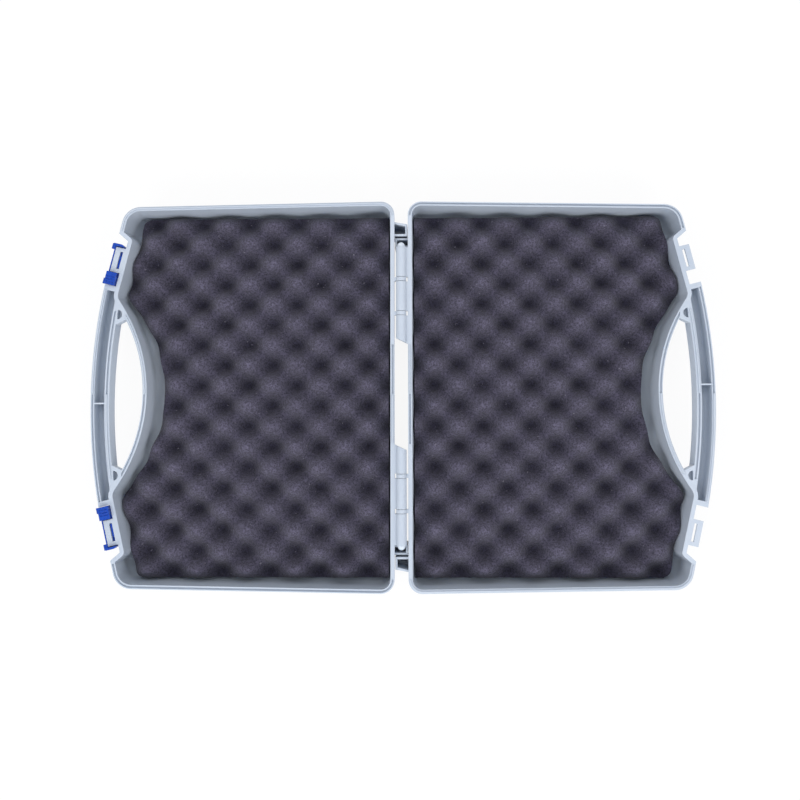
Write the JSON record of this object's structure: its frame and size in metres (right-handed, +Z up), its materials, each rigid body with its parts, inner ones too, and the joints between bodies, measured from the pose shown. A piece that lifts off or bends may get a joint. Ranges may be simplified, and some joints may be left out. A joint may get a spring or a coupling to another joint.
{
  "type": "otoscope carry case",
  "caption": "Small hinged plastic carry case with split handle, sliding latches and egg-crate foam, lying open flat for a hand-held diagnostic instrument.",
  "frame": {"origin": "on the floor under the middle of the hinge line, which is the bottom centre of the open case", "axes": "+X from the base shell towards the lid's handle, +Y along the hinge, +Z up out of the open shells"},
  "size_m": [0.543, 0.3398, 0.0461],
  "materials": {
    "shell_plastic": "fine moulded grain, satin",
    "latch_plastic": "smooth moulded, slightly glossy",
    "pin_plastic": "smooth moulded, satin",
    "foam": "open-cell polyurethane foam, egg-crate surface",
    "tape": "double-sided adhesive tape"
  },
  "bodies": {
    "base": {"base_shell": "shell_plastic", "lower_hinge_pin": "pin_plastic", "base_foam": "foam", "base_foam_tape": "tape"},
    "lid": {"lid_shell": "shell_plastic", "upper_hinge_pin": "pin_plastic", "lid_foam": "foam", "lid_foam_tape": "tape"},
    "upper_latch": {"upper_latch": "latch_plastic"},
    "lower_latch": {"lower_latch": "latch_plastic"}
  },
  "joints": [
    {"name": "lid_hinge", "type": "hinge", "parent": "base", "child": "lid", "pos_m": [0, 0, 0.04165], "axis": [0, -1, 0], "range_deg": [0, 180]},
    {"name": "upper_latch_slide", "type": "slide", "parent": "base", "child": "upper_latch", "axis": [0.2334, 0.9724, 0], "range_m": [0, 0.0035]},
    {"name": "lower_latch_slide", "type": "slide", "parent": "base", "child": "lower_latch", "axis": [0.2334, -0.9724, 0], "range_m": [0, 0.0035]}
  ]
}
